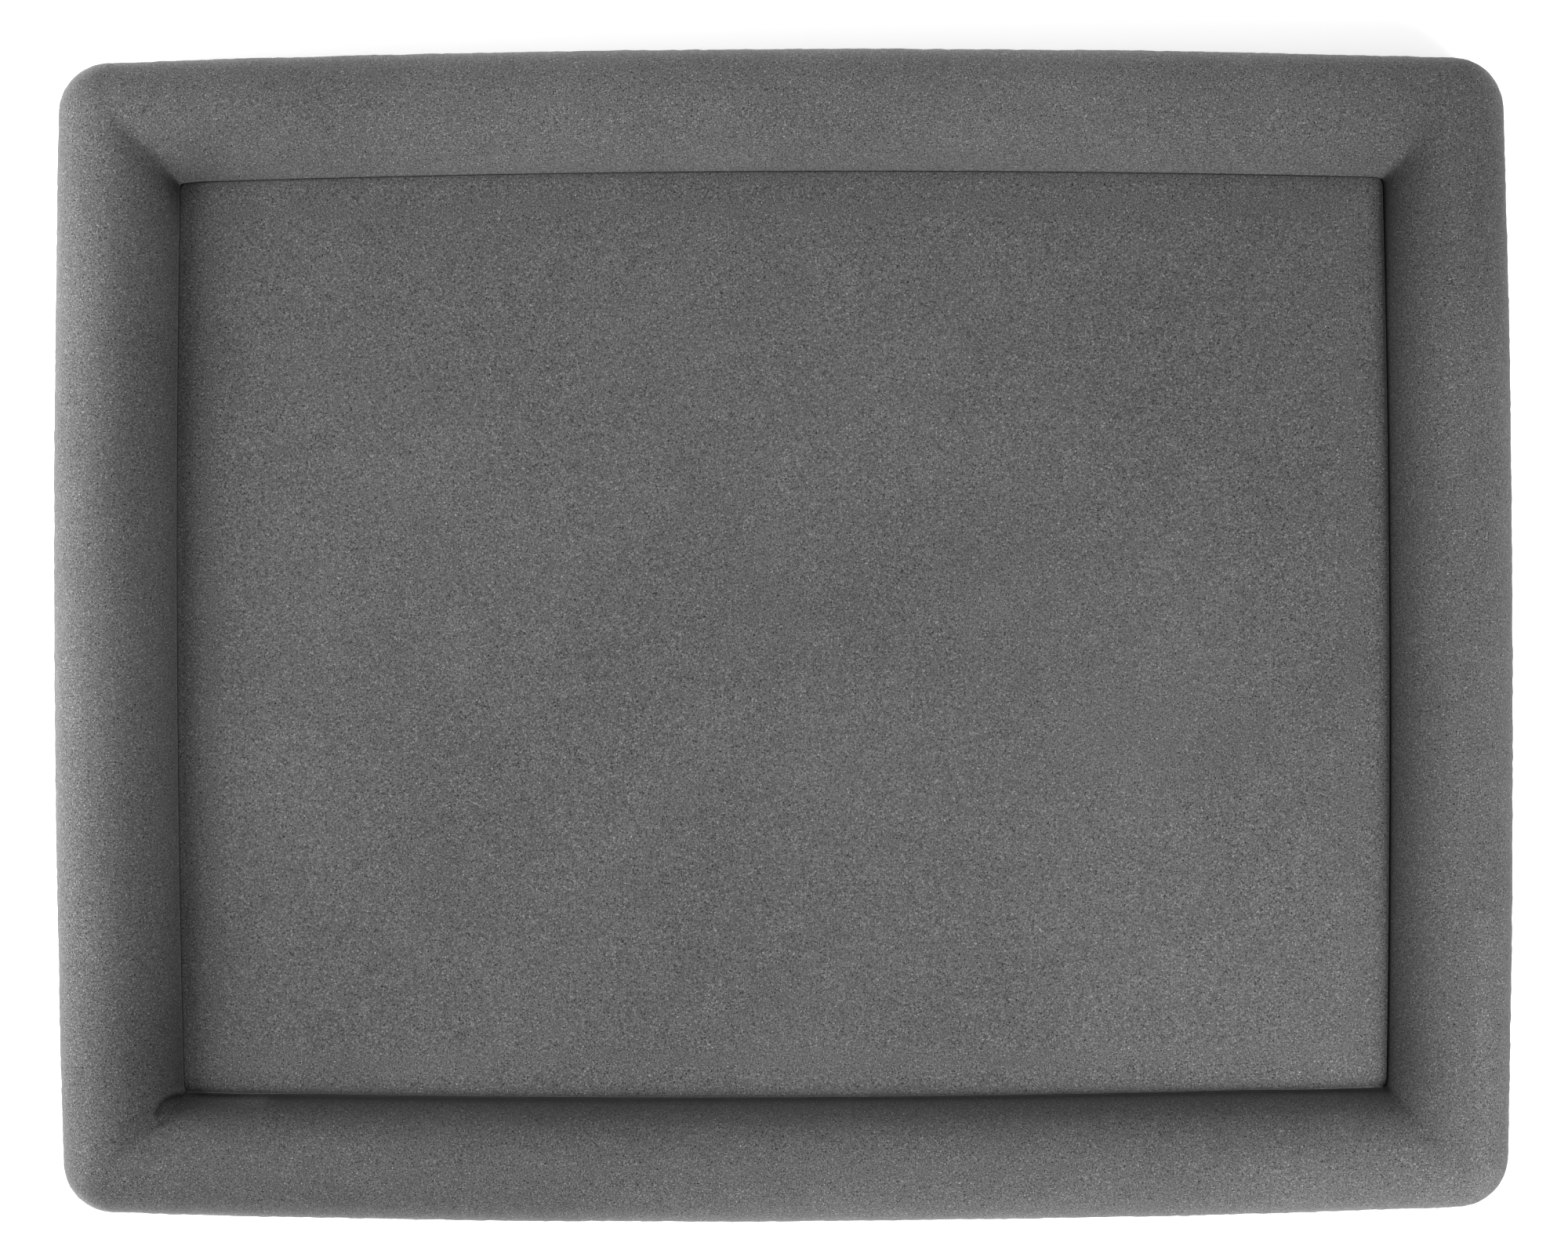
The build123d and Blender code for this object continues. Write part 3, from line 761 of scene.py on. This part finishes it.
# Floor pad cover: a grid over the top, then rings round the edge, down the sides and into the hem below.
# Four values stand for the right, back, left and front edge
padShape = {
    "inset": 0.0164,  # crest of the rim to the pad
    "shift": 0.0005,  # to the left and to the back, where the pad is pushed
    "bottom": 0.0057,
    "top": 0.0121,
    "edgeRadius": 0.0012,
    "cornerRadius": 0.0013,
    "hem": 0.012,
    "thickness": 0.0007,
    "proud": (0.00122, 0.00037, 0.00037, 0.00118),  # how far the soft edge stands out
    "frontEnds": 0.0003,  # and beyond that at the front near the corners
    "paintedEdgeShading": (0.80, 0.04, -0.05, 0.62),  # painted shade along the edge, by the crease
    "edgeReach": (0.0013, 0.00105, 0.0006, 0.0014),
    "edgeLift": (0.00015, 0.0001, 0.0001, 0.00002),  # less of that painted shade right at the crease, which lightens its dark line
    "drop": (0.0005, 0.00025, 0.0009, 0.0005),  # how far the top sinks towards it
    "reach": (0.0025, 0.003, 0.006, 0.0028),
    "pressed": (0.3, 0.2, 0.12, 0.8),  # share of the edge's roundness left
    "sideBlend": 0.0015,
    "shadePatches": [  # painted light and shade in patches, as on the rim
        (0.100, -0.085, 0.050, 0.19),
        (-0.115, 0.080, 0.050, -0.10),
        (-0.115, -0.085, 0.045, -0.10),
        (0.110, 0.085, 0.045, -0.17),
        (0.0, 0.085, 0.060, -0.06),
        (-0.1235, 0.0935, 0.006, -0.22),
    ],
    "nap": 0.97,
    "plainBelow": 0.0085,
    # painted shadow of the left rim on the pad's left margin, and how far it reaches
    "paintedLeftShadow": 0.26,
    "paintedLeftShadowReach": 0.005,
    "ripples": [(0.00009, 0.05), (0.00004, 0.012)],  # height and size
    "foldWidth": 1.9,  # of the edge of the hem below, in thicknesses
    "pressure": 1.2,
    "cap": 0.0003,
    "edgeFree": 0.1,  # share of the swell left at the edge, which is pushed against the rim
    "freeInset": 0.009,
}
padGrid = (176, 134, 3)  # steps along the long side, along the short side and in a corner


def padLines(half, radius, steps, cornerSteps):
    # grid lines across the pad, a little closer towards the edges
    corner = radius * np.arange(cornerSteps) / cornerSteps
    t = np.linspace(-1, 1, steps + 1)
    middle = (half - radius) * (0.8 * t + 0.2 * np.sin(t * math.pi / 2))
    return np.concatenate([-half + corner, middle, half - corner[::-1]])


def roundedGrid(halfX, halfY, radius, longSteps, shortSteps, cornerSteps):
    # a grid of points over a rectangle with round corners
    lineX = padLines(halfX, radius, longSteps, cornerSteps)
    lineY = padLines(halfY, radius, shortSteps, cornerSteps)
    x, y = np.meshgrid(lineX, lineY, indexing="ij")
    alongX = (np.abs(x) - (halfX - radius)) / radius
    alongY = (np.abs(y) - (halfY - radius)) / radius
    corner = (alongX > 0) & (alongY > 0)
    roundX = alongX * np.sqrt(np.maximum(1 - alongY**2 / 2, 0))
    roundY = alongY * np.sqrt(np.maximum(1 - alongX**2 / 2, 0))
    x = np.where(corner, np.sign(x) * (halfX - radius + radius * roundX), x)
    y = np.where(corner, np.sign(y) * (halfY - radius + radius * roundY), y)
    return x, y


def bowedReach(x, y, inset):
    # how far out the pad's bowed sides lie beside each point
    bow = rim["bowRadius"] - inset
    return np.sqrt(bow**2 - y**2) - rightAxis, np.sqrt(bow**2 - x**2) - backAxis


def padPlan(inset, radius):
    # the pad's plan as a grid of points, at an inset from its outline
    inset = padShape["inset"] + inset
    halfX, halfY = crestHalfLength - inset, crestHalfWidth - inset
    x, y = roundedGrid(halfX, halfY, radius, *padGrid)
    reachX, reachY = bowedReach(x, y, inset)
    x, y = x * reachX / halfX, y * reachY / halfY
    right, back, left, front = padShape["proud"]
    x = x * np.where(x > 0, 1 + right / halfX, 1 + left / halfX)
    frontMore = front + padShape["frontEnds"] * endShare(x)
    y = y * np.where(y > 0, 1 + back / halfY, 1 + frontMore / halfY)
    return np.stack([x - padShape["shift"], y + padShape["shift"]], axis=-1)


def gridEdge(rows, columns):
    # indices round the edge of a grid, anticlockwise from its front left corner
    front = [(i, 0) for i in range(rows - 1)]
    right = [(rows - 1, j) for j in range(columns - 1)]
    back = [(i, columns - 1) for i in range(rows - 1, 0, -1)]
    left = [(0, j) for j in range(columns - 1, 0, -1)]
    return front + right + back + left


def padMargins(points):
    # distances from the pad's right, back, left and front edges
    x, y = points[..., 0] + padShape["shift"], points[..., 1] - padShape["shift"]
    reachX, reachY = bowedReach(x, y, padShape["inset"])
    return np.stack([reachX - x, reachY - y, reachX + x, reachY + y])


def padSides(points, *keys):
    # each side's distance, with its own values
    return zip(padMargins(points), *[padShape[key] for key in keys])


def padDrop(points):
    # soft roll of the cover where the pad is pushed against the rim
    total = 0
    for distance, proud, drop, reach in padSides(points, "proud", "drop", "reach"):
        total = total + drop * np.clip((reach - distance - proud) / reach, 0, 1) ** 2
    return total


def keepInside(rings):
    # the sides stand out no further than the room beside them
    right, back, left, front = padShape["proud"]
    fromRight, fromBack, fromLeft, fromFront = padMargins(rings)
    rings = rings.copy()
    rings[..., 0] += np.maximum(-fromLeft - left, 0) - np.maximum(-fromRight - right, 0)
    frontMore = front + padShape["frontEnds"] * endShare(rings[..., 0])
    rings[..., 1] += np.maximum(-fromFront - frontMore, 0) - np.maximum(-fromBack - back, 0)
    return rings


def padShell(depth, edgeSteps, sideSteps, hemSteps):
    # top grid and edge rings of the cover at a depth in the cloth, with the indices of the grid's edge
    flatInset, fold, bottom = padShape["edgeRadius"], padShape["thickness"], padShape["bottom"]
    top, sideTop = padShape["top"] - depth, padShape["top"] - flatInset
    grid = atLevel(padPlan(flatInset, padShape["cornerRadius"] - flatInset), top)
    edge = gridEdge(*grid.shape[:2])
    section = arcRows((flatInset, sideTop), (flatInset, top), (depth, sideTop), edgeSteps)[1:]
    section += lineRows((depth, sideTop), (depth, bottom + fold), sideSteps)
    if depth:
        hemEnd = (padShape["hem"], bottom + fold)
        section += lineRows((depth, bottom + fold), hemEnd, hemSteps)
    else:
        hemEnd, foldWidth = (padShape["hem"], bottom), padShape["foldWidth"] * fold
        for angle in (0, math.pi / 6, math.pi / 3):
            section.append((foldWidth * (1 - math.cos(angle)), bottom + fold * (1 - math.sin(angle))))
        section += lineRows((foldWidth, bottom), hemEnd, hemSteps)
    rings = []
    for inset, level in [*section, hemEnd]:
        plan = padPlan(inset, max(padShape["cornerRadius"] - inset, 0.0002))
        rings.append(atLevel(plan[tuple(zip(*edge))], level))
    return grid, np.array(rings), edge


def shellFaces(rows, columns, ringCount, edge, start=0, flipped=False):
    # of a grid and the rings that follow its edge, with the last ring's own points
    faces = []
    for i in range(rows - 1):
        for j in range(start + i * columns, start + (i + 1) * columns - 1):
            faces.append((j, j + columns, j + columns + 1, j + 1))
    loops = [[start + i * columns + j for i, j in edge]]
    first = start + rows * columns
    for k in range(ringCount):
        loops.append([first + k * len(edge) + n for n in range(len(edge))])
    for upper, lower in zip(loops, loops[1:]):
        faces += joinLoops(upper, lower)
    return [face[::-1] for face in faces] if flipped else faces, loops[-1]


def makePadCover():
    outerGrid, outerRings, edge = padShell(0.0, 7, 4, 6)
    innerGrid, innerRings, edge = padShell(padShape["thickness"], 3, 1, 2)
    radius = padShape["edgeRadius"]
    sideTop, sideFoot = padShape["top"] - radius, padShape["bottom"] + padShape["thickness"]
    outerGrid[..., 2] -= padDrop(outerGrid)
    margins = padMargins(outerRings) + np.array(padShape["proud"])[:, None, None]
    near = np.exp(-np.clip(margins - margins.min(axis=0), 0, 1) / padShape["sideBlend"])
    pressed = (near * np.array(padShape["pressed"])[:, None, None]).sum(axis=0) / near.sum(axis=0)
    above = fromTo(outerRings[..., 2], sideTop, sideTop + radius)
    share = fromTo(outerRings[..., 2], sideFoot, sideTop)
    outerRings[..., 2] += (1 - above) * share * radius * (1 - pressed)
    outerRings[..., 2] -= padDrop(outerRings) * share
    top = outerGrid.reshape(-1, 3)
    top[:, 2] += sum(height * ripple(top, size, i + 11) for i, (height, size) in enumerate(padShape["ripples"]))
    rows, columns = outerGrid.shape[:2]
    coarse, coarseRings = outerGrid[::2, ::2], outerRings[1::2, ::2]
    coarseEdge = gridEdge(*coarse.shape[:2])
    cloth = np.concatenate([coarse.reshape(-1, 3), coarseRings.reshape(-1, 3)])
    faces = shellFaces(*coarse.shape[:2], len(coarseRings), coarseEdge)[0]
    held = range(len(cloth) - 4 * len(coarseEdge), len(cloth))
    moved = swellCloth(cloth, faces, held, padShape["pressure"], padShape["cap"])
    movedGrid, movedRings = np.split(moved, [coarse[..., 0].size])
    movedGrid, movedRings = movedGrid.reshape(coarse.shape), movedRings.reshape(coarseRings.shape)
    around = np.concatenate([movedGrid[tuple(zip(*coarseEdge))][None], movedRings])
    free = padShape["edgeFree"]
    fromEdge = padMargins(outerGrid).min(axis=0)[..., None]
    freeShare = free + (1 - free) * fromTo(fromEdge, 0, padShape["freeInset"]) ** 2
    top += (refine(refine(movedGrid, 0), 1) * freeShare).reshape(-1, 3)
    outerRings = keepInside(outerRings + free * refine(refine(around, 0), 1, closed=True)[1:])
    outer = np.concatenate([top, outerRings.reshape(-1, 3)])
    inner = np.concatenate([innerGrid.reshape(-1, 3), innerRings.reshape(-1, 3)])
    faces, outerEnd = shellFaces(rows, columns, len(outerRings), edge)
    innerFaces, innerEnd = shellFaces(rows, columns, len(innerRings), edge, len(outer), True)
    faces += innerFaces + joinLoops(outerEnd, innerEnd)
    points = np.concatenate([outer, inner])
    cover = makePiece("padCover", points, faces, microfibreCloth, "floor_pad")
    fromLeft = padMargins(points)[2]
    # painted shadow of the left rim, painted shade along the edges and painted light and shade in patches
    paintedShading = padShape["nap"] - padShape["paintedLeftShadow"] * np.exp(-((fromLeft / padShape["paintedLeftShadowReach"]) ** 2))
    # painted shade along the pad's edges, lighter again right at the crease
    for distance, proud, shade, reach, lift in padSides(points, "proud", "paintedEdgeShading", "edgeReach", "edgeLift"):
        inwards = np.clip(distance + proud, 0, 1)
        paintedShading -= shade * np.exp(-inwards / reach) * (1 - np.exp(-inwards / lift))
    addShadePatches(paintedShading, points, padShape["shadePatches"])
    paintedShading[points[:, 2] < padShape["plainBelow"]] = padShape["nap"]
    paintLightAndShade(cover, paintedShading)
    return cover


padCover = makePadCover()
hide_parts("pad_cover")
print("pad cover made:", len(padCover.data.polygons), "faces")

# Felt under the tray, pressed thinner at its margin by the hem
felt = {
    "length": 0.289,
    "width": 0.230,
    "cornerRadius": 0.005,
    "margin": 0.0013,
    "middle": 0.0020,
    "underHem": 0.0148,  # felt's edge to the raised middle
    "step": 0.0004,
    "cutEdge": (0.0006, 0.006),  # how uneven, as a share of its place, and size
    "lumps": (0.00008, 0.009),  # height and size
    "lumpsInset": 0.0006,
    "grid": (150, 120, 4),
}


def makeFelt():
    halfX, halfY = felt["length"] / 2, felt["width"] / 2
    x, y = roundedGrid(halfX, halfY, felt["cornerRadius"], *felt["grid"])
    flat = np.stack([x, y, np.zeros_like(x)], axis=-1)
    rows, columns = x.shape
    edge = gridEdge(rows, columns)
    uneven, size = felt["cutEdge"]
    for i, j in edge:
        flat[i, j, :2] *= 1 + uneven * noise.noise(Vector(flat[i, j]) / size)
    fromEdge = np.minimum(halfX - np.abs(x), halfY - np.abs(y))
    raised = fromTo(fromEdge, felt["underHem"], felt["underHem"] + felt["step"])
    upper, lower = flat.copy(), flat.copy()
    upper[..., 2] = felt["margin"] + (felt["middle"] - felt["margin"]) * raised
    height, size = felt["lumps"]
    swell = 0.5 + 0.5 * ripple(flat.reshape(-1, 3), size, 21).reshape(rows, columns)
    lower[..., 2] = height * swell * (fromEdge > felt["lumpsInset"])
    faces, upperEnd = shellFaces(rows, columns, 0, edge)
    lowerFaces, lowerEnd = shellFaces(rows, columns, 0, edge, rows * columns, True)
    faces += lowerFaces + joinLoops(upperEnd, lowerEnd)
    points = np.concatenate([upper.reshape(-1, 3), lower.reshape(-1, 3)])
    return makePiece("undersideFelt", points, faces, feltCloth, "tray")


undersideFelt = makeFelt()
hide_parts("underside_felt")
print("felt made")

# Solid parts of the frame keep their shape and take their finish here
finishes = {
    "mdf": makeBoardFibre("mdfBoard"),
    "grey_board": makeBoardFibre("greyBoard"),
    "card": makeBoardFibre("blackCard"),
    "foam": makeFoam(),
    "fastener_steel": makeSteel(),
}
for nodeName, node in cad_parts.items():
    if nodeName not in ("rim_cover", "pad_cover", "underside_felt"):
        for slot in node.material_slots:
            slot.material = finishes[slot.material.name.split(".")[0]]
print("finishes given to the frame's own pieces")

# Camera, floor and light
def makeCamera():
    data = bpy.data.cameras.new("camera")
    camera = bpy.data.objects.new("camera", data)
    bpy.context.collection.objects.link(camera)
    widest = rim["top"] - rim["crestInset"]
    perMetre = photo["pixelsPerMetre"]
    data.sensor_width = 36.0
    data.lens = data.sensor_width * perMetre * (photo["cameraHeight"] - widest) / photo["width"]
    turn = math.radians(photo["turn"])
    right = (photo["width"] / 2 - photo["trayCentreX"]) / perMetre
    up = (photo["trayCentreY"] - photo["height"] / 2) / perMetre
    x = right * math.cos(turn) - up * math.sin(turn)
    y = right * math.sin(turn) + up * math.cos(turn)
    camera.location = (x, y, photo["cameraHeight"])
    camera.rotation_euler = (0.0, 0.0, turn)
    data.clip_start = 0.01
    bpy.context.scene.camera = camera


makeCamera()

surroundings = {
    "floor": (0.85, 0.85, 0.85, 1.0),
    "white": (1.0, 1.0, 1.0, 1.0),
    "size": 6.0,
    "glow": 0.55,  # seen near the tray, where the lamps and its shadow fall on the floor
    "farGlow": 1.0,  # seen beyond them
    "near": 0.35,
    "far": 0.95,
    "fill": 0.05,
}


def seenPlainly(tree):
    # 1 for what the camera sees, directly or in a reflection
    path = tree.node("LightPath").outputs
    seen = tree.math("MAXIMUM", path["Is Camera Ray"], path["Is Glossy Ray"])
    return tree.math("MAXIMUM", seen, path["Is Transmission Ray"])


def makeFloor():
    bpy.ops.mesh.primitive_plane_add(size=surroundings["size"])
    floor = bpy.context.object
    floor.name = "floor"
    surface = {"Roughness": 0.9, "Specular_IOR_Level": 0.0, "Base_Color": surroundings["floor"]}
    material, tree, shader, place = startMaterial("floor", Emission_Color=surroundings["white"], **surface)
    away = tree.node("VectorMath", place, operation="LENGTH").outputs["Value"]
    glow = tree.remap(away, *[surroundings[key] for key in ("near", "far", "glow", "farGlow")])
    tree.set(shader["Emission Strength"], tree.product(seenPlainly(tree), glow))
    floor.data.materials.append(material)


def makeWorld():
    world = bpy.data.worlds.new("world")
    bpy.context.scene.world = world
    world.use_nodes = True
    tree = NodeTree(world.node_tree)
    background = world.node_tree.nodes["Background"].inputs
    background["Color"].default_value = surroundings["white"]
    tree.set(background["Strength"], tree.math("MAXIMUM", seenPlainly(tree), surroundings["fill"]))


# Soft lamps round the tray: compass angle and height in degrees, distance and size in metres, power in watts
lamps = {
    "frontRightLamp": (-45, 40, 1.4, (0.6, 0.5), 16.4),
    "leftLamp": (180, 25, 1.4, (0.8, 0.5), 10.5),
    "rightLamp": (0, 50, 1.4, (0.8, 0.5), 3.4),
    "backCard": (90, 15, 0.36, (0.45, 0.12), 0.34),
    "leftCard": (180, 11, 0.35, (0.35, 0.10), 0.90),
}


def addLamp(name, around, height, distance, size, power):
    around, height = math.radians(around), math.radians(height)
    direction = Vector((math.cos(height) * math.cos(around), math.cos(height) * math.sin(around), math.sin(height)))
    data = bpy.data.lights.new(name, "AREA")
    data.shape = "RECTANGLE"
    data.size, data.size_y = size
    data.energy = power
    lamp = bpy.data.objects.new(name, data)
    lamp.location = direction * distance
    aim = Vector((0.0, 0.0, 0.01)) - lamp.location
    lamp.rotation_euler = aim.to_track_quat("-Z", "Y").to_euler()
    bpy.context.collection.objects.link(lamp)


makeFloor()
makeWorld()
for lampName, values in lamps.items():
    addLamp(lampName, *values)
bpy.context.scene.view_settings.view_transform = "Standard"
print("camera, floor and lamps set")
